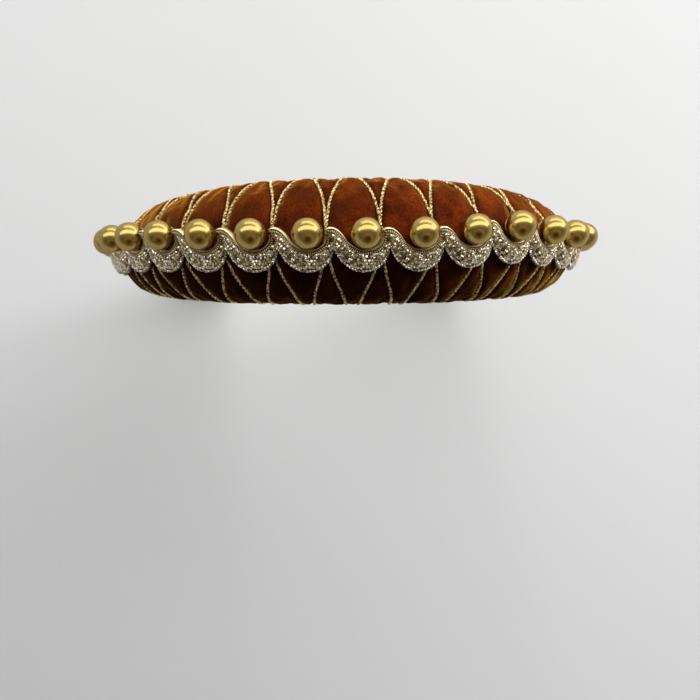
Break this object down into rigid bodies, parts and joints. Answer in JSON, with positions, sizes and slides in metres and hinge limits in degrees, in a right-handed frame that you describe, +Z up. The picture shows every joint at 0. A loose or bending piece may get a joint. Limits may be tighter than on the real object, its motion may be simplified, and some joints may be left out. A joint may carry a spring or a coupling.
{
  "type": "padded halo headband",
  "caption": "Padded velvet halo headband, open at the back of the head, laced with twisted gold cord and edged with a jewelled crescent-link trim holding pearls.",
  "frame": {"origin": "centre of the round part of the band's inner face, the middle of the head it grips", "axes": "+Z up through the crown of the band, +X across the head, -Y towards the wearer's face"},
  "size_m": [0.2366, 0.0534, 0.2184],
  "materials": {
    "core": "plain moulded spring band",
    "wadding": "polyester wadding",
    "velvet": "short-pile rust-brown velvet",
    "lining": "brown grosgrain ribbon",
    "end_cover": "rust-brown velvet pocket",
    "gold_cord": "twisted metallic gold cord",
    "thread": "waxed sewing thread",
    "gold_metal": "polished light-gold plating",
    "pearl": "olive-gold pearl coat",
    "pave_stone": "clear cut rhinestone, foiled back"
  },
  "bodies": {
    "root": {"core_band": "core", "foam_roll": "wadding", "velvet_cover": "velvet", "lining_ribbon": "lining", "tip_cover_left": "end_cover", "tip_cover_right": "end_cover", "cord_wrap_clockwise": "gold_cord", "cord_wrap_anticlockwise": "gold_cord", "hand_stitches": "thread", "link_01": "gold_metal", "link_02": "gold_metal", "link_03": "gold_metal", "link_04": "gold_metal", "link_05": "gold_metal", "link_06": "gold_metal", "link_07": "gold_metal", "link_08": "gold_metal", "link_09": "gold_metal", "link_10": "gold_metal", "link_11": "gold_metal", "link_12": "gold_metal", "link_13": "gold_metal", "link_14": "gold_metal", "link_15": "gold_metal", "link_16": "gold_metal", "link_17": "gold_metal", "pearl_01": "pearl", "pearl_02": "pearl", "pearl_03": "pearl", "pearl_04": "pearl", "pearl_05": "pearl", "pearl_06": "pearl", "pearl_07": "pearl", "pearl_08": "pearl", "pearl_09": "pearl", "pearl_10": "pearl", "pearl_11": "pearl", "pearl_12": "pearl", "pearl_13": "pearl", "pearl_14": "pearl", "pearl_15": "pearl", "pearl_16": "pearl", "pearl_17": "pearl", "stones_01": "pave_stone", "stones_02": "pave_stone", "stones_03": "pave_stone", "stones_04": "pave_stone", "stones_05": "pave_stone", "stones_06": "pave_stone", "stones_07": "pave_stone", "stones_08": "pave_stone", "stones_09": "pave_stone", "stones_10": "pave_stone", "stones_11": "pave_stone", "stones_12": "pave_stone", "stones_13": "pave_stone", "stones_14": "pave_stone", "stones_15": "pave_stone", "stones_16": "pave_stone", "stones_17": "pave_stone"}
  },
  "joints": []
}
